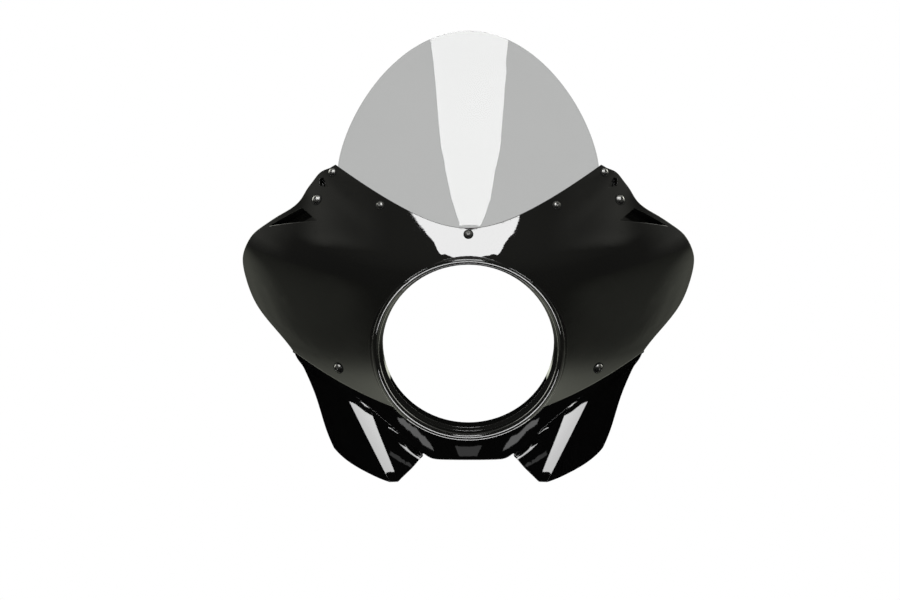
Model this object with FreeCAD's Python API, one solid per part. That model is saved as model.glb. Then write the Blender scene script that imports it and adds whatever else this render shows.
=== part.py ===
import FreeCAD, Part
import math
import os
from FreeCAD import Vector

# Half fairing for a motorbike: millimetres, +Z up, front towards -Y, left side towards -X.
# The origin is the centre of the headlight opening, where its round wall starts behind the lip.
# Outlines are (x, z) points of one side, seen from the front.

# Headlight collar
bore_r = 100.0
bore_length = 17.0
lip_step = 4.0
lip_chamfer = 2.0
bead_front = -15.0
collar_front_r = 112.5
collar_r = 118.0
collar_flare_y = 9.0
collar_wall = 2.5

# Windscreen
screen_wall = 3.0
screen_gap = 0.3
screen_half = 153.5
screen_base_z = 190.0
screen_top_z = 333.5
screen_flatten = 200.0
screen_collar_gap = 4.5
screen_arch_power = 1.5
screen_foot_cut = 6.0

# Upper cowl
half_width = 272.0
wing_depth = 183.0
wing_power = 2.4
skin_front = -23.0
upper_lean = 0.9
upper_lean_from = 98.0
lower_lean = 0.35
lower_lean_from = -30.0
lean_softness = 8.0
cowl_wall = 3.0
neck_gap = 22.0
neck_z = collar_r + neck_gap
neck_round = 0.42
cowl_low_z = -93.0
wing_corner = (209.0, -31.0)
wing_outline = [
    wing_corner, (226, -15), (255, 10), (268, 36), (half_width, 60), (267, 79), (257, 97),
    (242, 112), (226, 125.5), (206, 141), (197, 151),
]

# Lug at the windscreen's corner, with its edge as steps from its top
lug_top = (screen_half + 2.5, 192.0)
lug_edge = [(34, -29.5), (27, -20.5), (21, -13), (18.5, -10.6), (9, -5.2), (0, 0)]
wing_outline += [(lug_top[0] + dx, lug_top[1] + dz) for dx, dz in lug_edge]

# Soft fold that parts the neck panel from the wing
fold_from = (79.0, 100.0)
fold_to = (lug_top[0] + 16.0, lug_top[1] - 16.0)
fold_slope = 0.3
fold_band = 22.0
fold_softness = 4.0

# Scoop and notch recesses
scoop_outline = [(237, 112), (195.6, 142), (177, 132.7)]
scoop_depth = 14.0
notch_steps = [(19, -17), (18.5, -24), (9, -24), (15, -15)]
notch_outline = [(lug_top[0] + dx, lug_top[1] + dz) for dx, dz in notch_steps]
notch_depth = 7.0
recess_wall = 2.5

# Lower cowl
chin_wall = 3.0
chin_gap = 0.3
chin_overlap = 22.0
chin_collar_gap = 1.0
bridge_low_z = -151.0
ledge_outline = [(207, -37), (140, -69.5), (94, -106), (54, -143)]
ledge_step = 1.2
ledge_tuck = 7.0
lobe_outer = [(212, -28), (203.5, -48), (197.5, -65), (185.5, -99), (174, -149.5), (164.5, -177)]
lobe_bottom = [lobe_outer[-1], (150, -188), (123, -195.5), (98, -196.5), (85, -193.5)]
lobe_inner = [(54, -136), (57, -157), (70, -176), lobe_bottom[-1]]
lobe_lean = 0.15

# Flat strip down each lobe, between two creases where the sides fall back
outer_crease = [(145.5, -82.0), (103.5, -183.0)]
inner_crease = [(113.5, -103.5), (88.0, -183.5)]
outer_fall = 0.45
inner_fall = 0.5
fall_start = 2.0
fall_grow = 28.0
lobe_margin = 15.0

# Fasteners: screws with a button head, on the local normal of the skin
lug_screw = (lug_top[0] + 4.0, 9.9)
side_screw = (102.8, 10.3)
middle_screw = (0.0, 6.0)
tab_spot = (178.4, 153.8)
low_spot = (152.8, -35.2)
hole_play = 0.45
seat_play = 0.3
washer_play = 0.1
thread_play = 0.05
m5_r = 2.5
m5_length = 18.0
m6_r = 3.0
m6_length = 21.0
well_nut_r = 6.0
well_nut_flange_r = 7.5
well_nut_length = 10.0
spacer_r = 8.5
spacer_length = 4.0

# Brackets to the fork clamps
bracket_wall = 3.0
ear_r = 11.0
arm_width = 18.0
plate_x = 138.0
plate_y = 97.0
plate_width = 26.0
plate_low_z = 0.0
plate_top_z = 96.0
fork_bolt_pitch = 60.0
fork_bolt_r = 4.25

os.makedirs("parts", exist_ok=True)


def ramp(t, softness):
    """Zero below t = 0 and t above it, with a soft bend."""
    return softness * math.log(1.0 + math.exp(min(t / softness, 60.0)))


def ease(t):
    """Smooth step from 0 to 1."""
    t = min(max(t, 0.0), 1.0)
    return t * t * (3.0 - 2.0 * t)


def even_step(t):
    """Step from 0 to 1 with one even bend at each end."""
    t = min(max(t, 0.0), 1.0)
    return 2.0 * t * t if t < 0.5 else 1.0 - 2.0 * (1.0 - t) ** 2


def line_frame(start, end, x, z):
    """Share along a line and distance to its outer side, for a point of either half."""
    run = math.hypot(end[0] - start[0], end[1] - start[1])
    ux, uz = (end[0] - start[0]) / run, (end[1] - start[1]) / run
    dx, dz = abs(x) - start[0], z - start[1]
    return (dx * ux + dz * uz) / run, dx * abs(uz) - dz * math.copysign(ux, ux * uz)


def panel(x, z):
    """Y of the cowl's outer skin without the fold."""
    flatten = 1.0 + ramp(z - neck_z, lean_softness) / screen_flatten
    y = skin_front + wing_depth * (abs(x) / half_width) ** wing_power / flatten
    y += upper_lean * ramp(z - upper_lean_from, lean_softness)
    return y + lower_lean * ramp(lower_lean_from - z, lean_softness)


def skin(x, z):
    """Y of the cowl's outer skin: the wing stands forward outside the fold."""
    along, out = line_frame(fold_from, fold_to, x, z)
    lift = ramp(out, fold_softness) - ramp(out - fold_band, 3 * fold_softness)
    return panel(x, z) - fold_slope * ease(along) * lift


def ledge_at(x):
    """Height of the ledge at a distance from the middle: the smooth curve through its points."""
    height = 0.0
    for xa, za in ledge_outline:
        weight = 1.0
        for xb, zb in ledge_outline:
            if xb != xa:
                weight *= (abs(x) - xb) / (xa - xb)
        height += weight * za
    return height


def beside(crease, x, z):
    """Distance from a crease to its outer side."""
    return line_frame(crease[0], crease[1], x, z)[1]


def lobe(x, z):
    """Y of the lower cowl's lobes before the offset: they lean back, and more so outside the creases."""
    under = ledge_at(x) - z - fall_start
    fall = outer_fall * max(beside(outer_crease, x, z), 0.0)
    fall += inner_fall * max(-beside(inner_crease, x, z), 0.0)
    return panel(x, z) + lobe_lean * ramp(under, fall_start) + fall * even_step(under / fall_grow)


def inward(law, x, z):
    """Unit normal of a skin law, into the shell."""
    h = 0.5
    slope_x = (law(x + h, z) - law(x - h, z)) / (2 * h)
    slope_z = (law(x, z + h) - law(x, z - h)) / (2 * h)
    return Vector(-slope_x, 1.0, -slope_z).normalize()


def on_skin(law, x, z, offset):
    return Vector(x, law(x, z), z) + inward(law, x, z) * offset


def slab(law, rows, start, end):
    """Solid between two offsets of a skin law over rows of (x, z) points."""
    sides = []
    for offset in (start, end):
        surface = Part.BSplineSurface()
        surface.interpolate([[on_skin(law, x, z, offset) for x, z in row] for row in rows])
        sides.append(surface)
    faces = [side.toShape() for side in sides]
    limits = [side.bounds() for side in sides]
    for k in range(2):
        faces.append(Part.makeRuledSurface(*[s.uIso(b[k]).toShape() for s, b in zip(sides, limits)]))
        faces.append(Part.makeRuledSurface(*[s.vIso(b[k + 2]).toShape() for s, b in zip(sides, limits)]))
    return closed_solid(faces)


def closed_solid(faces):
    shell = Part.makeShell(faces)
    shell.sewShape()
    solid = Part.makeSolid(Part.Shell(shell.Faces))
    if solid.Volume < 0:
        solid.reverse()
    return solid


def spline(points):
    curve = Part.BSplineCurve()
    curve.interpolate([Vector(x, z, 0) for x, z in points])
    return curve


def share(curve, t):
    """Point at share t of a curve's length, as (x, z)."""
    spot = curve.value(curve.parameterAtDistance(t * curve.length(), curve.FirstParameter))
    return spot.x, spot.y


def dip(s):
    """Rounded V from 0 at the middle to 1 at the side."""
    return (math.hypot(s, neck_round) - neck_round) / (math.hypot(1.0, neck_round) - neck_round)


def spread(count):
    """Even values from 0 to 1."""
    return [i / (count - 1.0) for i in range(count)]


def both_sides(count):
    """Even values from -1 to 1."""
    return [2.0 * t - 1.0 for t in spread(count)]


def mirrored(shape):
    return shape.mirror(Vector(0, 0, 0), Vector(1, 0, 0))


def recess(body, points, depth):
    """Body with a closed pocket of an even depth under an outline, on both sides."""
    mid_x = sum(x for x, z in points) / len(points)
    mid_z = sum(z for x, z in points) / len(points)
    axis, middle = inward(skin, mid_x, mid_z), on_skin(skin, mid_x, mid_z, 0)
    spots = [on_skin(skin, x, z, 0) for x, z in points]
    spots = [p - axis * (axis.dot(p - middle) + 2 * depth) for p in spots]
    mouth = Part.makePolygon(spots + spots[:1])
    rim = mouth.makeOffset2D(recess_wall, 0)
    half = max(max(abs(x - mid_x), abs(z - mid_z)) for x, z in points) + depth + 3 * recess_wall
    rows = [[(mid_x + half * a, mid_z + half * b) for a in both_sides(17)] for b in both_sides(17)]
    tray = slab(skin, rows, cowl_wall / 2, depth + recess_wall)
    tray = tray.common(Part.Face(rim).extrude(axis * 5 * depth))
    pocket = slab(skin, rows, -2 * cowl_wall, depth)
    pocket = pocket.common(Part.Face(mouth).extrude(axis * 5 * depth))
    body = body.fuse([tray, mirrored(tray)])
    return body.cut([pocket, mirrored(pocket)])


def rod(start, axis, radius, length):
    return Part.makeCylinder(radius, length, start, axis)


def hole(spot, radius):
    """Drill through the shells along the normal at a spot."""
    x, z = spot
    return rod(on_skin(skin, x, z, -20), inward(skin, x, z), radius, 60)


def button_screw(seat, axis, radius, length):
    """Screw with its head's flat on the seat and its shank along the axis."""
    head_r, head_h = 1.9 * radius, 1.1 * radius
    shank_r, tip = radius - thread_play, 0.2 * radius
    dome_r = (head_r ** 2 + head_h ** 2) / (2 * head_h)
    half_turn = 0.5 * math.asin(head_r / dome_r)
    corners = [(0, -head_h), (0, length), (shank_r - tip, length), (shank_r, length - tip)]
    corners = [Vector(r, 0, z) for r, z in corners + [(shank_r, 0), (head_r, 0)]]
    dome = Vector(dome_r * math.sin(half_turn), 0, dome_r - head_h - dome_r * math.cos(half_turn))
    edges = [Part.makeLine(a, b) for a, b in zip(corners, corners[1:])]
    edges.append(Part.Arc(corners[-1], dome, corners[0]).toShape())
    screw = Part.Face(Part.Wire(edges)).revolve(Vector(0, 0, 0), Vector(0, 0, 1), 360)
    socket = hexagon(1.2 * radius, head_h).translated(Vector(0, 0, -1.2 * head_h))
    return placed(screw.cut(socket), seat, axis)


def hexagon(across, height):
    """Six-sided bar along +Z, from its width across the flats."""
    corners = []
    for k in range(6):
        turn = math.radians(60 * k)
        corners.append(Vector(math.cos(turn), math.sin(turn), 0) * (across / math.sqrt(3)))
    return Part.Face(Part.makePolygon(corners + corners[:1])).extrude(Vector(0, 0, height))


def placed(shape, seat, axis):
    """Shape made along +Z, turned to an axis and set on a seat."""
    shape = shape.copy()
    shape.Placement = FreeCAD.Placement(seat, FreeCAD.Rotation(Vector(0, 0, 1), axis))
    return shape


def tube(seat, axis, outer, inner, length):
    return rod(seat, axis, outer, length).cut(rod(seat, axis, inner, length))


def save(shapes, name):
    Part.makeCompound(shapes).exportStep("parts/" + name + ".step")


# Upper cowl: rows run from the lower edge up to the neck, columns from side to side
wing_curve = spline(wing_outline)
cowl_rows = []
for v in spread(41):
    edge_x, edge_z = share(wing_curve, v)
    middle_z = cowl_low_z + (neck_z - cowl_low_z) * v
    cowl_rows.append([(edge_x * a, middle_z + (edge_z - middle_z) * dip(a)) for a in both_sides(73)])
cowl = slab(skin, cowl_rows, 0.0, cowl_wall)

# Collar: a bead in front, a flared outer wall to the skin and a stepped tunnel
tunnel_r = bore_r + lip_step
bead_r = (collar_front_r - tunnel_r) / 2
bead_mid = tunnel_r + bead_r
bead_y = bead_front + bead_r


def collar_line(points, inset):
    """Points of the collar's section, (r, y), moved into the wall."""
    return [Vector(r + inset, y, 0) for r, y in points]


flare = [(collar_front_r, bead_y), (collar_r, collar_flare_y), (collar_r, bore_length)]
tunnel = [(bore_r, bore_length), (bore_r, 0), (tunnel_r, -lip_chamfer), (tunnel_r, bead_y)]
front = collar_line(flare, 0) + collar_line(tunnel, 0)
back = collar_line(flare, -collar_wall) + collar_line(tunnel, collar_wall)
edges = [Part.makeLine(a, b) for a, b in zip(front[:3], front[1:3] + back[2:3])]
edges += [Part.makeLine(back[k], back[k - 1]) for k in (2, 1)]
edges.append(Part.Arc(back[0], Vector(bead_mid, bead_front + collar_wall, 0), back[6]).toShape())
edges += [Part.makeLine(back[k + 1], back[k]) for k in (5, 4, 3)]
edges.append(Part.makeLine(back[3], front[3]))
edges += [Part.makeLine(front[k], front[k + 1]) for k in (3, 4, 5)]
edges.append(Part.Arc(front[6], Vector(bead_mid, bead_front, 0), front[0]).toShape())
collar = Part.Face(Part.Wire(edges)).revolve(Vector(0, 0, 0), Vector(0, 1, 0), 360)
plug_reach = 2 * collar_r
plug_side = collar_line(flare, -collar_wall / 2)
plug_line = [Vector(0, plug_reach, 0), Vector(0, -plug_reach, 0), Vector(plug_side[0].x, -plug_reach, 0)]
plug_line += plug_side + [Vector(plug_side[2].x, plug_reach, 0)]
plug = Part.Face(Part.makePolygon(plug_line + plug_line[:1])).revolve(Vector(0, 0, 0), Vector(0, 1, 0), 360)
cowl = cowl.cut(plug).fuse(collar)
cowl = recess(cowl, scoop_outline, scoop_depth)
cowl = recess(cowl, notch_outline, notch_depth)

# Windscreen: an outline drawn square to the screen's middle, through a skin behind the neck panel
screen_axis = inward(panel, 0.0, screen_top_z)
neck_rise = lug_top[1] - neck_z
screen_overlap = neck_z - collar_r - screen_collar_gap


def neck_at(x):
    return neck_z + neck_rise * dip(x / lug_top[0])


def neck_spot(screw):
    """Spot of a screw given as its x and its drop under the neck's edge."""
    return screw[0], neck_at(screw[0]) - screw[1]


def screen_point(x, z):
    """Point of the outline, on the plane square to the screen's axis."""
    point = Vector(x, panel(x, z), z)
    return point - screen_axis * (screen_axis.dot(point) + screen_top_z)


screen_rows = []
for v in spread(19):
    line = [(200.0 * a, neck_at(200.0 * a) - 2 * screen_overlap) for a in both_sides(41)]
    screen_rows.append([(x, z + (screen_top_z + 20 - z) * v) for x, z in line])
screen_offset = cowl_wall + screen_gap
screen = slab(panel, screen_rows, screen_offset, screen_offset + screen_wall)
arch = []
for a in both_sides(25):
    x = screen_half * math.sin(0.5 * math.pi * a)
    rise = (1.0 - (x / screen_half) ** 2) ** (1.0 / screen_arch_power)
    arch.append(screen_point(x, screen_base_z + (screen_top_z - screen_base_z) * rise))
foot_x, ear_z = lug_screw[0] + 2 * m5_r, neck_spot(lug_screw)[1] + 1.2 * m5_r
base_x = foot_x - screen_foot_cut
base = [screen_point(base_x * a, neck_at(base_x * a) - screen_overlap) for a in both_sides(25)]
arch_curve, base_curve = Part.BSplineCurve(), Part.BSplineCurve()
arch_curve.interpolate(arch)
base_curve.interpolate(base)
foot_z = neck_at(foot_x) - 0.6 * screen_overlap
edges = [arch_curve.toShape(), base_curve.toShape()]
for end, x in ((0, -foot_x), (-1, foot_x)):
    foot, ear = screen_point(x, foot_z), screen_point(x, ear_z)
    edges += [Part.makeLine(base[end], foot), Part.makeLine(foot, ear), Part.makeLine(ear, arch[end])]
outline = Part.Wire(Part.__sortEdges__(edges))
screen = screen.common(Part.Face(outline).extrude(screen_axis * 2 * screen_top_z))

# Lower cowl: a band with the bridge, and a lobe on each side, moulded as one
def band_top(x):
    """Top of the band: clear of the collar, and tucked behind the cowl's lower edge."""
    clear_r = collar_r - 2 * chin_wall
    tuck = cowl_low_z + (wing_corner[1] - cowl_low_z) * dip(x / wing_corner[0]) + chin_overlap
    if abs(x) >= clear_r:
        return tuck
    around = -math.sqrt(clear_r ** 2 - x ** 2)
    return tuck - ramp(tuck - around, 3.0)


def band_low(x):
    return bridge_low_z + ramp(ledge_at(x) - bridge_low_z, 3.0)


band_half = lobe_outer[0][0]
band_rows = []
for v in spread(9):
    line = [band_half * a for a in both_sides(81)]
    band_rows.append([(x, band_top(x) * (1 - v) + band_low(x) * v) for x in line])
chin_offset = cowl_wall + chin_gap
chin = slab(panel, band_rows, chin_offset, chin_offset + chin_wall)


def under_ledge(line, t):
    """Point at share t of a line, and its drop under the ledge."""
    (xa, za), (xb, zb) = line
    x, z = xa + (xb - xa) * t, za + (zb - za) * t
    return x, z, ledge_at(x) - z


def share_at(line, drop):
    """Share along a line where it lies a given drop under the ledge."""
    low, high = -1.0, 2.0
    for k in range(40):
        middle = (low + high) / 2
        if under_ledge(line, middle)[2] < drop:
            low = middle
        else:
            high = middle
    return low


def lobe_line(line):
    """Spots down a line: close together where the sides start to fall, then to under the lobe's bottom."""
    top, knee = share_at(line, -ledge_tuck), share_at(line, fall_start + fall_grow)
    low_z = min(z for x, z in lobe_bottom) - lobe_margin
    low = (low_z - line[0][1]) / (line[1][1] - line[0][1])
    stops = [top + (knee - top) * k for k in spread(8)] + [knee + (low - knee) * k for k in spread(6)[1:]]
    return [under_ledge(line, t)[:2] for t in stops]


def ribbon(law, lines, start, end):
    """Solid between two offsets of a law, with straight rulings between its lines."""
    sides = []
    for offset in (start, end):
        curves = []
        for line in lines:
            curve = Part.BSplineCurve()
            curve.interpolate([on_skin(law, x, z, offset) for x, z in line])
            curves.append(curve.toShape())
        sides.append(curves)
    faces = [Part.makeRuledSurface(a, b) for curves in sides for a, b in zip(curves, curves[1:])]
    faces += [Part.makeRuledSurface(sides[0][k], sides[1][k]) for k in (0, -1)]
    for k in (0, -1):
        ends = [[curve.Vertexes[k].Point for curve in curves] for curves in sides]
        rungs = [[Part.makeLine(a, b) for a, b in zip(row, row[1:])] for row in ends]
        faces += [Part.makeRuledSurface(a, b) for a, b in zip(*rungs)]
    return closed_solid(faces)


lobe_sides = []
for outline, way in ((lobe_outer, 1), (lobe_inner, -1)):
    lobe_sides.append([(x + way * lobe_margin, z) for x, z in (outline[0], outline[-1])])
lobe_lines = [lobe_line(line) for line in (lobe_sides[0], outer_crease, inner_crease, lobe_sides[1])]
lobe_offset = chin_offset + ledge_step
right_lobe = ribbon(lobe, lobe_lines, lobe_offset, lobe_offset + chin_wall)
lobe_top = [lobe_inner[0]] + [(x, z + ledge_tuck - 1.0) for x, z in ledge_outline[2:0:-1]] + [lobe_outer[0]]
rim = [spline(points).toShape() for points in (lobe_top, lobe_outer, lobe_bottom, lobe_inner)]
rim = Part.Wire(Part.__sortEdges__(rim))
rim.rotate(Vector(0, 0, 0), Vector(1, 0, 0), 90)
blade = Part.Face(rim).extrude(Vector(0, 4 * collar_r, 0))
right_lobe = right_lobe.common(blade.translated(Vector(0, -collar_r, 0)))
chin = chin.fuse([right_lobe, mirrored(right_lobe)])
chin = chin.cut(rod(Vector(0, bead_front, 0), Vector(0, 1, 0), collar_r + chin_collar_gap, 4 * bore_length))

# Fasteners: every stack runs inwards along the skin's normal
screen_stack = [neck_spot(screw) for screw in (lug_screw, side_screw, middle_screw)]
screen_stack += [(-x, z) for x, z in screen_stack if x > 0]
bracket_stack = [tab_spot, low_spot, (-tab_spot[0], tab_spot[1]), (-low_spot[0], low_spot[1])]
m5_holes = [hole(spot, m5_r + hole_play) for spot in screen_stack]
m6_holes = [hole(spot, m6_r + hole_play) for spot in bracket_stack]
cowl = cowl.cut(m5_holes + m6_holes)
screen = screen.cut(m5_holes)
chin = chin.cut(m6_holes)


def layer(spot, offset):
    """Seat and axis at a depth under the skin."""
    return on_skin(skin, spot[0], spot[1], offset), inward(skin, spot[0], spot[1])


def screw_set(spots, radius, length):
    """Screws and the washers under their heads."""
    thick = 0.2 * radius
    screws, washers = [], []
    for spot in spots:
        seat, axis = layer(spot, -washer_play - thick)
        washers.append(tube(seat, axis, 2.3 * radius, radius + hole_play, thick))
        screws.append(button_screw(seat, axis, radius, length))
    return screws, washers


screen_screws, screen_washers = screw_set(screen_stack, m5_r, m5_length)
bracket_screws, bracket_washers = screw_set(bracket_stack, m6_r, m6_length)

well_nuts = []
for spot in screen_stack:
    seat, axis = layer(spot, screen_offset + screen_wall + seat_play)
    body = rod(seat, axis, well_nut_flange_r, 1.5).fuse(rod(seat, axis, well_nut_r, well_nut_length))
    well_nuts.append(body.cut(rod(seat, axis, m5_r, well_nut_length)))

# Brackets: an ear at the tab, an ear behind the lower cowl, and a plate for the fork clamp between them
spacers, nuts, ears = [], [], []
for spot in bracket_stack:
    under = cowl_wall if spot[1] > 0 else chin_offset + chin_wall
    seat, axis = layer(spot, under + seat_play)
    spacers.append(tube(seat, axis, spacer_r, m6_r + hole_play, spacer_length))
    ears.append((seat + axis * spacer_length, axis))
    nut_seat = seat + axis * (spacer_length + bracket_wall)
    flange = rod(nut_seat, axis, 2.3 * m6_r, 0.4 * m6_r)
    blank = placed(hexagon(3.3 * m6_r, 1.8 * m6_r), nut_seat, axis).fuse(flange)
    nuts.append(blank.cut(rod(nut_seat, axis, m6_r, 4 * m6_r)))


def frame(middle, across, thick):
    """Rectangle for an arm's end from its half width and half thickness vectors."""
    near, far = middle - thick, middle + thick
    corners = [near - across, near + across, far + across, far - across]
    return Part.makePolygon(corners + corners[:1])


def arm(ear, target):
    """Strap from an ear to the end of the plate."""
    seat, axis = ear
    middle = seat + axis * (bracket_wall / 2)
    across = axis.cross(target - middle).normalize()
    start = middle + across.cross(axis) * (0.75 * ear_r)
    across = across * (arm_width / 2)
    plate_across = Vector(0, arm_width / 2, 0)
    plate_thick = Vector(-bracket_wall / 2, 0, 0)
    if across.dot(plate_across) < 0:
        across = across * -1
    ends = [frame(start, across, axis * (bracket_wall / 2)), frame(target, plate_across, plate_thick)]
    return Part.makeLoft(ends, True, True)


def bracket(tab_ear, low_ear):
    """Right bracket: plate, two arms and two ears in one."""
    low_y = plate_y - plate_width / 2
    plate = Part.makeBox(bracket_wall, plate_width, plate_top_z - plate_low_z)
    plate.translate(Vector(plate_x - bracket_wall / 2, low_y, plate_low_z))
    body = plate
    for ear, z in ((tab_ear, plate_top_z - bracket_wall), (low_ear, plate_low_z + bracket_wall)):
        body = body.fuse([rod(ear[0], ear[1], ear_r, bracket_wall), arm(ear, Vector(plate_x, plate_y, z))])
    drills = [rod(ear[0] - ear[1] * 10, ear[1], m6_r + hole_play, 20) for ear in (tab_ear, low_ear)]
    middle_z = (plate_low_z + plate_top_z) / 2
    for side in (-1, 1):
        spot = Vector(plate_x - 20, plate_y, middle_z + side * fork_bolt_pitch / 2)
        drills.append(rod(spot, Vector(1, 0, 0), fork_bolt_r, 40))
    return body.cut(drills).removeSplitter()


right_bracket = bracket(ears[0], ears[1])

for name, shapes in (
    ("upper_cowl", cowl.Solids), ("lower_cowl", chin.Solids), ("windscreen", screen.Solids),
    ("screen_screws", screen_screws), ("screen_washers", screen_washers), ("well_nuts", well_nuts),
    ("bracket_screws", bracket_screws), ("bracket_washers", bracket_washers), ("bracket_spacers", spacers),
    ("bracket_nuts", nuts), ("right_bracket", right_bracket.Solids),
    ("left_bracket", mirrored(right_bracket).Solids),
):
    save(shapes, name)
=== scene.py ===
import math
import bpy
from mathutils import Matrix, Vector

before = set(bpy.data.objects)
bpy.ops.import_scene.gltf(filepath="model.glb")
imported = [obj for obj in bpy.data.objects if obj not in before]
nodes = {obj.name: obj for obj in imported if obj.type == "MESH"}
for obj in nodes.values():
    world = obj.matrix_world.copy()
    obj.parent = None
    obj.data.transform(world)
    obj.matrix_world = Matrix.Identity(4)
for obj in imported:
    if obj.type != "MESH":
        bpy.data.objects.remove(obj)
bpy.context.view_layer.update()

# Camera: metres and degrees, aimed at the middle of the collar's bead
IMAGE_WIDTH, IMAGE_HEIGHT = 900, 600
AIM = Vector((0.0, -0.015, 0.0))
AIM_PIXEL = (468.4, 351.0)
CAMERA_PITCH = 19.0
CAMERA_DISTANCE = 3.6
SENSOR = 36.0
METRES_PER_PIXEL = 0.00116

# Stage: the floor lies well under the chin, and fades out round its middle
DISC_CORNERS = 96
FLOOR_Z = -0.85
FLOOR_RADIUS = 2.2
FLOOR_MIDDLE = Vector((0.0, -0.35, FLOOR_Z))
FLOOR_FADE = (0.45, 1.3)
FLOOR_COLOUR = (0.86, 0.86, 0.85, 1.0)
FLOOR_ROUGHNESS = 0.9

# Backdrop: what the eye sees, and the even light that falls on the part
BACKDROP_TINT = (1.0, 1.0, 1.0, 1.0)
BACKDROP_LEVEL = 1.0
FILL_LEVEL = 0.7

# Room that gloss shows: dim all round, a streak that climbs over both sides and a bright arch behind.
# A pair is where a ramp is 0 and where it is 1, along one axis of the direction that gloss looks in.
ROOM_TINT = (1.0, 1.0, 0.91, 1.0)
ROOM_LEVEL = 0.05
ROOM_BOTTOM = (-0.6, -0.35)
ROOM_BACK = (0.92, 0.8)
SKY_LEVEL = 0.08
SKY_START = 0.3
STREAK_AXIS = (-0.117, 0.853, 0.509)
STREAK_LEVEL = 0.28
STREAK_RISE = (-0.03, 0.1)
STREAK_FALL = (0.25, 0.1)
STREAK_SIDES = (0.45, 0.9)
STREAK_BOTTOM = (0.3, 0.55)
REAR_SIDE_LEVEL = 0.2
REAR_SIDE_DEPTH = (0.05, 0.4)
REAR_SIDE_BOTTOM = (-0.3, 0.0)
REAR_LEVEL = 3.0
REAR_DEPTH = (0.42, 0.65)
REAR_BOTTOM = (-0.45, -0.05)
REAR_TOP = (0.5, 0.3)

# Bright ground that the upper cowl shows: it fades away from the middle line, and glows behind both wings.
# A pair is where a ramp is 0 and where it is 1, in metres.
GROUND_LIFT = 0.01
GROUND_MIDDLE = Vector((0.0, 0.0, FLOOR_Z + GROUND_LIFT))
GROUND_RADIUS = 3.8
GROUND_TINT = (0.97, 1.0, 0.84, 1.0)
GROUND_LEVEL = 2.9
GROUND_FADE_PER_METRE = 0.255
GROUND_SIDES = (0.2, 0.7)
GROUND_FRONT = (-2.0, -0.7)
WING_GROUND_LEVEL = 0.27
WING_GROUND_SLOPE = 1.5
WING_GROUND_FRONT = (-3.4, -2.5)
WING_GROUND_SIDES = (1.8, 2.4)

# Reflector cards: corners in metres
TOP_CARD_Z = 1.6
SCREEN_CARD = [
    (0.191, -0.15), (0.198, -0.45), (0.15, -0.54), (0.07, -0.595),
    (-0.045, -0.595), (-0.106, -0.54), (-0.163, -0.45), (-0.172, -0.33), (-0.196, -0.15),
]
NECK_CARD = [
    (0.0, -0.612), (0.5, -0.574), (0.4, -0.622), (0.33, -0.668), (0.27, -0.87),
    (-0.24, -0.87), (-0.3, -0.668), (-0.4, -0.608), (-0.62, -0.556),
]
HIGH_CARD = [(0.25, -1.2, 0.9), (0.25, -0.85, 1.3), (-0.25, -0.85, 1.3), (-0.25, -1.2, 0.9)]
LOW_CARD = [(0.65, -1.6, -0.45), (0.65, -1.6, 0.1), (-0.65, -1.6, 0.1), (-0.65, -1.6, -0.45)]
CHIN_CARD_Z = -0.6
STRIP_CARD = [
    (0.587, 0.032), (0.587, 0.0405), (0.563, 0.062), (0.534, 0.079), (0.51, 0.098), (0.48, 0.12),
    (0.348, 0.12), (0.348, 0.046), (0.363, 0.03), (0.47, 0.03),
]
BAND_CARD = [
    (0.36, -0.228), (0.339, -0.227), (0.308, -0.233), (0.273, -0.241), (0.216, -0.2425), (0.134, -0.246),
    (0.158, -0.254), (0.189, -0.257), (0.219, -0.253), (0.28, -0.25), (0.316, -0.243), (0.346, -0.232),
]
MIDDLE_CARD = [(0.044, -0.262), (0.025, -0.2465), (-0.025, -0.2465), (-0.044, -0.262)]
SILL_CARD = [(0.25, 0.1), (0.25, 0.3), (-0.25, 0.3), (-0.25, 0.1)]
LIP_CARD = [(0.35, -0.12), (0.35, 0.1), (-0.35, 0.1), (-0.35, -0.12)]

# Reflector cards: the brightness that a mirror would show
SCREEN_RADIANCE = 10.0
NECK_RADIANCE = 14.5
HIGH_RADIANCE = 7.0
LOW_RADIANCE = 12.0
LIP_RADIANCE = 8.0
MIDDLE_RADIANCE = 1.75
SILL_RADIANCE = 8.0
STRIP_RADIANCE = 16.5
BAND_RADIANCE = 5.0

# Lamps: metres, watts and degrees
TOP_LAMP = {"size": 1.6, "watts": 40.0, "place": (0.0, -0.4, 2.2), "tilt": 0.0}
SCREW_LAMP = {"size": 2.2, "watts": 45.0, "place": (0.0, -1.0, 1.9), "tilt": 28.0}

# Finishes: edge radius in metres, and patterns by their scale per metre
EDGE_RADIUS = 0.001
EDGE_SAMPLES = 6
EDGE_TURN = (0.03, 0.3)
RIPPLE_SCALE = 300.0
RIPPLE_DETAIL = 3.0
RIPPLE_ROUGHNESS = 0.55
DRIFT_SCALE = 9.0
DRIFT_DETAIL = 2.0
MARK_SCALE = 60.0
MARK_DETAIL = 6.0
MARK_ROUGHNESS = 0.7
MARK_STRETCH = (1.0, 1.0, 9.0)
MARK_RANGE = (0.56, 0.78)
STEEL_DRIFT_SCALE = 220.0
STEEL_MARK_SCALE = 500.0
SCREEN_DRIFT_SCALE = 4.0
SCREEN_DARK = (0.46, 0.465, 0.46, 1.0)
SCREEN_PALE = (0.50, 0.505, 0.50, 1.0)
SCREEN_IOR = 1.49


def link(thing):
    bpy.context.scene.collection.objects.link(thing)
    return thing


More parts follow.
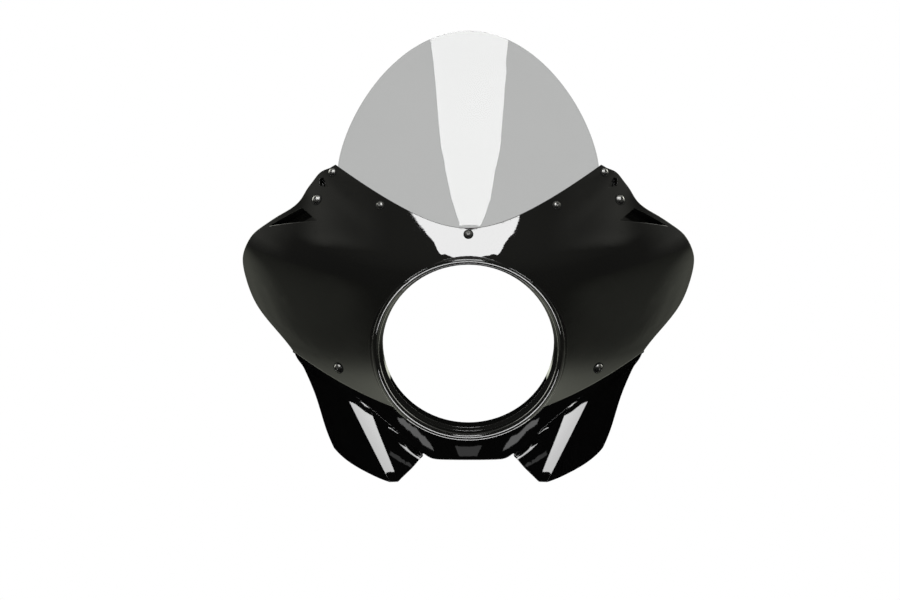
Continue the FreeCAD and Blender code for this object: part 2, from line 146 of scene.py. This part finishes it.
def add_camera():
    data = bpy.data.cameras.new("camera")
    data.sensor_width = SENSOR
    data.lens = SENSOR * CAMERA_DISTANCE / (IMAGE_WIDTH * METRES_PER_PIXEL)
    data.shift_x = (IMAGE_WIDTH / 2 - AIM_PIXEL[0]) / IMAGE_WIDTH
    data.shift_y = (AIM_PIXEL[1] - IMAGE_HEIGHT / 2) / IMAGE_WIDTH
    camera = link(bpy.data.objects.new("camera", data))
    pitch = math.radians(CAMERA_PITCH)
    back = Vector((0.0, -math.cos(pitch), math.sin(pitch)))
    camera.location = AIM + back * CAMERA_DISTANCE
    camera.rotation_euler = (math.radians(90.0) - pitch, 0.0, 0.0)
    bpy.context.scene.camera = camera


def add_node(tree, kind, inputs=None, **settings):
    """Node with its properties set, and its inputs set or fed from other sockets."""
    node = tree.nodes.new(kind)
    for name, value in settings.items():
        setattr(node, name, value)
    for name, value in (inputs or {}).items():
        socket = node.inputs[name]
        if isinstance(value, bpy.types.NodeSocket):
            tree.links.new(value, socket)
        else:
            socket.default_value = value
    return node


def blend_values(tree, factor, a, b):
    """Value between a and b by a factor."""
    return add_node(tree, "ShaderNodeMix", {0: factor, 2: a, 3: b}, data_type="FLOAT").outputs[0]


def blend_colours(tree, factor, a, b):
    """Colour between a and b by a factor."""
    return add_node(tree, "ShaderNodeMix", {0: factor, 6: a, 7: b}, data_type="RGBA").outputs[2]


def calculate(tree, operation, a, b):
    return add_node(tree, "ShaderNodeMath", {0: a, 1: b}, operation=operation).outputs[0]


def ramp(tree, value, start, end):
    """Smooth step from 0 at the start to 1 at the end."""
    return add_node(tree, "ShaderNodeMapRange", {
        "Value": value, "From Min": start, "From Max": end,
    }, interpolation_type="SMOOTHSTEP").outputs[0]


def light_only(light, pieces):
    """Let a lamp or a bright sheet light only some pieces."""
    lit = bpy.data.collections.new(light.name + "_pieces")
    for name in pieces:
        lit.objects.link(nodes[name])
    light.light_linking.receiver_collection = lit


def glossy_only(sheet, pieces):
    """Show a bright sheet only in the gloss of some pieces."""
    sheet.visible_camera = False
    sheet.visible_diffuse = False
    sheet.visible_transmission = False
    sheet.visible_shadow = False
    light_only(sheet, pieces)


def glow_paint(name):
    """New material that only shines, with its tree and its shader."""
    paint = bpy.data.materials.new(name)
    paint.use_nodes = True
    tree = paint.node_tree
    tree.nodes.clear()
    glow = add_node(tree, "ShaderNodeEmission")
    add_node(tree, "ShaderNodeOutputMaterial", {"Surface": glow.outputs[0]})
    return paint, tree, glow


def card(name, corners, radiance, pieces):
    """Flat reflector, given the brightness that a mirror would show."""
    mesh = bpy.data.meshes.new(name)
    mesh.from_pydata(corners, [], [list(range(len(corners)))])
    paint, _, glow = glow_paint(name)
    glow.inputs["Strength"].default_value = radiance
    mesh.materials.append(paint)
    glossy_only(link(bpy.data.objects.new(name, mesh)), pieces)


def level_card(name, outline, z, radiance, pieces):
    card(name, [(x, y, z) for x, y in outline], radiance, pieces)


def disc(name, radius, middle):
    bpy.ops.mesh.primitive_circle_add(
        vertices=DISC_CORNERS, radius=radius, fill_type="NGON", location=middle)
    bpy.context.object.name = name
    return bpy.context.object


def bright_ground():
    """Ground that fades to both sides, with a glow behind the wings."""
    ground = disc("bright_ground", GROUND_RADIUS, GROUND_MIDDLE)
    paint, tree, glow = glow_paint("bright_ground")
    place = add_node(tree, "ShaderNodeTexCoord").outputs["Object"]
    x, y = add_node(tree, "ShaderNodeSeparateXYZ", {0: place}).outputs[:2]
    x = add_node(tree, "ShaderNodeMath", {0: x}, operation="ABSOLUTE").outputs[0]
    level = calculate(tree, "MULTIPLY", calculate(tree, "POWER", GROUND_FADE_PER_METRE, x), GROUND_LEVEL)
    level = calculate(tree, "MULTIPLY", level, ramp(tree, x, *GROUND_SIDES))
    level = calculate(tree, "MULTIPLY", level, ramp(tree, y, *GROUND_FRONT))
    behind = calculate(tree, "SUBTRACT", y, calculate(tree, "MULTIPLY", x, WING_GROUND_SLOPE))
    far_back = ramp(tree, behind, *WING_GROUND_FRONT)
    wings = calculate(tree, "MULTIPLY", far_back, ramp(tree, x, *WING_GROUND_SIDES))
    level = calculate(tree, "ADD", level, calculate(tree, "MULTIPLY", wings, WING_GROUND_LEVEL))
    level = calculate(tree, "ADD", level, ROOM_LEVEL)
    tree.links.new(level, glow.inputs["Strength"])
    glow.inputs["Color"].default_value = GROUND_TINT
    ground.data.materials.append(paint)
    glossy_only(ground, ["upper_cowl"])


def studio_world():
    """White to the eye and through the screen, and a dim room for gloss, so that black keeps its depth."""
    world = bpy.data.worlds.new("studio")
    bpy.context.scene.world = world
    world.use_nodes = True
    tree = world.node_tree
    tree.nodes.clear()
    path = add_node(tree, "ShaderNodeLightPath")
    place = add_node(tree, "ShaderNodeTexCoord").outputs["Generated"]
    y, z = add_node(tree, "ShaderNodeSeparateXYZ", {0: place}).outputs[1:]
    room = calculate(tree, "MULTIPLY", ramp(tree, z, *ROOM_BOTTOM), ROOM_LEVEL)
    sky = calculate(tree, "MAXIMUM", calculate(tree, "SUBTRACT", z, SKY_START), 0.0)
    room = calculate(tree, "ADD", room, calculate(tree, "MULTIPLY", sky, SKY_LEVEL))
    mirrored = add_node(tree, "ShaderNodeVectorMath", {0: place}, operation="ABSOLUTE")
    x = add_node(tree, "ShaderNodeSeparateXYZ", {0: mirrored.outputs[0]}).outputs[0]
    facing = add_node(tree, "ShaderNodeCombineXYZ", {"X": x, "Y": y, "Z": z})
    over = add_node(tree, "ShaderNodeVectorMath", {
        0: facing.outputs[0], 1: STREAK_AXIS,
    }, operation="DOT_PRODUCT").outputs["Value"]
    streak = calculate(tree, "MULTIPLY", ramp(tree, over, *STREAK_RISE), ramp(tree, over, *STREAK_FALL))
    streak = calculate(tree, "MULTIPLY", streak, ramp(tree, x, *STREAK_SIDES))
    streak = calculate(tree, "MULTIPLY", streak, ramp(tree, z, *STREAK_BOTTOM))
    room = calculate(tree, "ADD", room, calculate(tree, "MULTIPLY", streak, STREAK_LEVEL))
    flank = calculate(tree, "MULTIPLY", ramp(tree, y, *REAR_SIDE_DEPTH), ramp(tree, z, *REAR_SIDE_BOTTOM))
    room = calculate(tree, "ADD", room, calculate(tree, "MULTIPLY", flank, REAR_SIDE_LEVEL))
    rear = calculate(tree, "MULTIPLY", ramp(tree, z, *REAR_BOTTOM), ramp(tree, z, *REAR_TOP))
    rear = calculate(tree, "MULTIPLY", rear, ramp(tree, y, *REAR_DEPTH))
    room = calculate(tree, "ADD", room, calculate(tree, "MULTIPLY", rear, REAR_LEVEL))
    room = calculate(tree, "MULTIPLY", room, ramp(tree, y, *ROOM_BACK))
    seen = calculate(tree, "MAXIMUM", path.outputs["Is Camera Ray"], path.outputs["Is Transmission Ray"])
    glossy = calculate(tree, "SUBTRACT", path.outputs["Is Glossy Ray"], seen)
    level = blend_values(tree, path.outputs["Is Glossy Ray"], FILL_LEVEL, room)
    level = blend_values(tree, seen, level, BACKDROP_LEVEL)
    tint = blend_colours(tree, glossy, BACKDROP_TINT, ROOM_TINT)
    light = add_node(tree, "ShaderNodeBackground", {"Color": tint, "Strength": level})
    add_node(tree, "ShaderNodeOutputWorld", {"Surface": light.outputs[0]})


def studio_floor():
    floor = disc("floor", FLOOR_RADIUS, FLOOR_MIDDLE)
    paint, tree, shader = finish("pale_floor")
    shader.inputs["Base Color"].default_value = FLOOR_COLOUR
    shader.inputs["Roughness"].default_value = FLOOR_ROUGHNESS
    place = add_node(tree, "ShaderNodeTexCoord")
    away = add_node(tree, "ShaderNodeVectorMath", {0: place.outputs["Object"]}, operation="LENGTH")
    fade = add_node(tree, "ShaderNodeMapRange", {
        "Value": away.outputs["Value"], "From Min": FLOOR_FADE[0], "From Max": FLOOR_FADE[1],
        "To Min": 1.0, "To Max": 0.0,
    }, interpolation_type="SMOOTHERSTEP")
    tree.links.new(fade.outputs[0], shader.inputs["Alpha"])
    floor.data.materials.append(paint)


def area_lamp(name, size, watts, place, tilt):
    """Square lamp that faces down, tilted by some degrees."""
    data = bpy.data.lights.new(name, "AREA")
    data.size = size
    data.energy = watts
    lamp = link(bpy.data.objects.new(name, data))
    lamp.location = place
    lamp.rotation_euler = (math.radians(tilt), 0.0, 0.0)
    lamp.visible_transmission = False
    return lamp


def studio():
    studio_world()
    studio_floor()
    top = area_lamp("top_lamp", **TOP_LAMP)
    top.visible_glossy = False
    screws = area_lamp("screw_lamp", **SCREW_LAMP)
    light_only(screws, ["screen_screws", "bracket_screws"])
    bright_ground()
    level_card("screen_card", SCREEN_CARD, TOP_CARD_Z, SCREEN_RADIANCE, ["windscreen"])
    level_card("neck_card", NECK_CARD, TOP_CARD_Z, NECK_RADIANCE, ["upper_cowl"])
    card("high_card", HIGH_CARD, HIGH_RADIANCE, ["upper_cowl"])
    card("low_card", LOW_CARD, LOW_RADIANCE, ["upper_cowl"])
    level_card("lip_card", LIP_CARD, CHIN_CARD_Z, LIP_RADIANCE, ["upper_cowl"])
    level_card("middle_card", MIDDLE_CARD, CHIN_CARD_Z, MIDDLE_RADIANCE, ["lower_cowl"])
    level_card("sill_card", SILL_CARD, CHIN_CARD_Z, SILL_RADIANCE, ["lower_cowl"])
    for side, way in (("right", 1), ("left", -1)):
        strip = [(way * x, y) for x, y in STRIP_CARD]
        band = [(way * x, y) for x, y in BAND_CARD]
        level_card(side + "_strip_card", strip, CHIN_CARD_Z, STRIP_RADIANCE, ["lower_cowl"])
        level_card(side + "_band_card", band, CHIN_CARD_Z, BAND_RADIANCE, ["lower_cowl"])


def finish(name):
    """New material with its tree and its shader."""
    paint = bpy.data.materials.new(name)
    paint.use_nodes = True
    return paint, paint.node_tree, paint.node_tree.nodes["Principled BSDF"]


def dress(paint, *names):
    """Give CAD nodes this finish."""
    for name in names:
        piece = nodes[name]
        piece.data.materials.clear()
        piece.data.materials.append(paint)


def new_group(name, inputs, outputs):
    """Node group with float inputs at their defaults, and outputs of the given types."""
    tree = bpy.data.node_groups.new(name, "ShaderNodeTree")
    for label, value in inputs.items():
        tree.interface.new_socket(label, in_out="INPUT", socket_type="NodeSocketFloat").default_value = value
    for label, kind in outputs.items():
        tree.interface.new_socket(label, in_out="OUTPUT", socket_type=kind)
    return tree, tree.nodes.new("NodeGroupInput"), tree.nodes.new("NodeGroupOutput")


def rounded_edge_group():
    """Normal that rounds sharp edges, and a mask along them that the finishes use to paint a highlight on the
    edges.
    """
    tree, given, made = new_group(
        "rounded_edge", {"Radius": EDGE_RADIUS}, {"Normal": "NodeSocketVector", "Edge": "NodeSocketFloat"})
    bevel = add_node(tree, "ShaderNodeBevel", {"Radius": given.outputs["Radius"]}, samples=EDGE_SAMPLES)
    flat = add_node(tree, "ShaderNodeNewGeometry")
    match = add_node(tree, "ShaderNodeVectorMath", {
        0: bevel.outputs[0], 1: flat.outputs["Normal"],
    }, operation="DOT_PRODUCT")
    turn = calculate(tree, "SUBTRACT", 1.0, match.outputs["Value"])
    edge = add_node(tree, "ShaderNodeMapRange", {
        "Value": turn, "From Min": EDGE_TURN[0], "From Max": EDGE_TURN[1]})
    tree.links.new(bevel.outputs[0], made.inputs["Normal"])
    tree.links.new(edge.outputs[0], made.inputs["Edge"])
    return tree


def surface_grain_group():
    """Fine ripple of a moulded or painted face, a slow drift of its tone, and thin handling marks."""
    tree, given, made = new_group(
        "surface_grain",
        {"Ripple Scale": RIPPLE_SCALE, "Drift Scale": DRIFT_SCALE, "Mark Scale": MARK_SCALE},
        {"Ripple": "NodeSocketFloat", "Drift": "NodeSocketFloat", "Marks": "NodeSocketFloat"})
    place = add_node(tree, "ShaderNodeTexCoord").outputs["Object"]
    ripple = add_node(tree, "ShaderNodeTexNoise", {
        "Vector": place, "Scale": given.outputs["Ripple Scale"],
        "Detail": RIPPLE_DETAIL, "Roughness": RIPPLE_ROUGHNESS})
    drift = add_node(tree, "ShaderNodeTexNoise", {
        "Vector": place, "Scale": given.outputs["Drift Scale"], "Detail": DRIFT_DETAIL})
    stretch = add_node(tree, "ShaderNodeMapping", {"Vector": place, "Scale": MARK_STRETCH})
    streak = add_node(tree, "ShaderNodeTexNoise", {
        "Vector": stretch.outputs[0], "Scale": given.outputs["Mark Scale"],
        "Detail": MARK_DETAIL, "Roughness": MARK_ROUGHNESS})
    marks = add_node(tree, "ShaderNodeMapRange", {
        "Value": streak.outputs[0], "From Min": MARK_RANGE[0], "From Max": MARK_RANGE[1]})
    for socket, value in (("Ripple", ripple), ("Drift", drift), ("Marks", marks)):
        tree.links.new(value.outputs[0], made.inputs[socket])
    return tree


EDGE_GROUP = rounded_edge_group()
GRAIN_GROUP = surface_grain_group()


def place_group(tree, group, **values):
    node = add_node(tree, "ShaderNodeGroup", node_tree=group)
    for name, value in values.items():
        node.inputs[name.replace("_", " ")].default_value = value
    return node.outputs


def coat_surface(tree, shader, edge, grain, depth):
    """Bump of the grain over the rounded edges."""
    bump = add_node(tree, "ShaderNodeBump", {
        "Height": grain["Ripple"], "Normal": edge["Normal"], "Strength": 1.0, "Distance": depth})
    tree.links.new(bump.outputs[0], shader.inputs["Normal"])


def moulded(name, pieces, deep, pale, edge_highlight, gloss, dull, ripple, radius, depth, specular):
    """Plastic, rubber or powder coat: deep colour that drifts to pale, a painted highlight that lightens the
    edges, and handling marks.
    """
    paint, tree, shader = finish(name)
    edge = place_group(tree, EDGE_GROUP, Radius=radius)
    grain = place_group(tree, GRAIN_GROUP, Ripple_Scale=ripple)
    body = blend_colours(tree, grain["Drift"], deep, pale)
    # Painted highlight: the base colour is lightened along the edges, standing in for the light that the
    # rounded edges catch.
    tree.links.new(blend_colours(tree, edge["Edge"], body, edge_highlight), shader.inputs["Base Color"])
    tree.links.new(blend_values(tree, grain["Marks"], gloss, dull), shader.inputs["Roughness"])
    shader.inputs["Specular IOR Level"].default_value = specular
    coat_surface(tree, shader, edge, grain, depth)
    dress(paint, *pieces)


def metal(name, pieces, dark, bright, gloss, dull, ripple, radius, depth):
    """Turned or plated steel, with a painted highlight that lightens its edges to the bright colour."""
    paint, tree, shader = finish(name)
    edge = place_group(tree, EDGE_GROUP, Radius=radius)
    grain = place_group(
        tree, GRAIN_GROUP, Ripple_Scale=ripple, Drift_Scale=STEEL_DRIFT_SCALE, Mark_Scale=STEEL_MARK_SCALE)
    body = blend_colours(tree, grain["Drift"], dark, bright)
    # Painted highlight: the base colour goes to the bright colour along the edges.
    tree.links.new(blend_colours(tree, edge["Edge"], body, bright), shader.inputs["Base Color"])
    tree.links.new(blend_values(tree, grain["Marks"], gloss, dull), shader.inputs["Roughness"])
    shader.inputs["Metallic"].default_value = 1.0
    coat_surface(tree, shader, edge, grain, depth)
    dress(paint, *pieces)


def smoked_screen():
    """Tinted clear sheet, a little darker where the tint drifts."""
    paint, tree, shader = finish("smoked_screen")
    grain = place_group(tree, GRAIN_GROUP, Drift_Scale=SCREEN_DRIFT_SCALE)
    tint = blend_colours(tree, grain["Drift"], SCREEN_DARK, SCREEN_PALE)
    tree.links.new(tint, shader.inputs["Base Color"])
    shader.inputs["Roughness"].default_value = 0.0
    shader.inputs["IOR"].default_value = SCREEN_IOR
    shader.inputs["Transmission Weight"].default_value = 1.0
    dress(paint, "windscreen")


def dress_all():
    # The edge colour of each finish below is a painted highlight along its edges.
    moulded(
        "cowl_black", ["upper_cowl"],
        deep=(0.0035, 0.0035, 0.0032, 1.0), pale=(0.0055, 0.0055, 0.005, 1.0), edge_highlight=(0.012, 0.012, 0.011, 1.0),
        gloss=0.015, dull=0.04, ripple=420.0, radius=0.001, depth=0.000003, specular=0.7)
    moulded(
        "chin_black", ["lower_cowl"],
        deep=(0.0015, 0.0015, 0.0015, 1.0), pale=(0.0028, 0.0028, 0.0028, 1.0), edge_highlight=(0.01, 0.01, 0.01, 1.0),
        gloss=0.015, dull=0.04, ripple=420.0, radius=0.0016, depth=0.000002, specular=0.2)
    moulded(
        "washer_black", ["screen_washers", "bracket_washers"],
        deep=(0.006, 0.006, 0.006, 1.0), pale=(0.012, 0.012, 0.012, 1.0), edge_highlight=(0.03, 0.03, 0.03, 1.0),
        gloss=0.35, dull=0.5, ripple=1500.0, radius=0.0002, depth=0.00001, specular=0.5)
    moulded(
        "rubber_black", ["well_nuts", "bracket_spacers"],
        deep=(0.010, 0.010, 0.010, 1.0), pale=(0.018, 0.018, 0.018, 1.0), edge_highlight=(0.035, 0.035, 0.034, 1.0),
        gloss=0.7, dull=0.85, ripple=1200.0, radius=0.0004, depth=0.00006, specular=0.4)
    moulded(
        "bracket_black", ["left_bracket", "right_bracket"],
        deep=(0.010, 0.010, 0.010, 1.0), pale=(0.016, 0.016, 0.016, 1.0), edge_highlight=(0.05, 0.05, 0.05, 1.0),
        gloss=0.38, dull=0.5, ripple=900.0, radius=0.0008, depth=0.00005, specular=0.5)
    metal(
        "screw_steel", ["screen_screws", "bracket_screws"],
        dark=(0.30, 0.30, 0.29, 1.0), bright=(0.46, 0.46, 0.45, 1.0),
        gloss=0.24, dull=0.38, ripple=2600.0, radius=0.0003, depth=0.000008)
    metal(
        "nut_steel", ["bracket_nuts"],
        dark=(0.46, 0.47, 0.46, 1.0), bright=(0.60, 0.61, 0.58, 1.0),
        gloss=0.24, dull=0.45, ripple=1800.0, radius=0.0004, depth=0.000015)
    smoked_screen()


add_camera()
studio()
dress_all()

bpy.context.scene.view_settings.view_transform = "Standard"
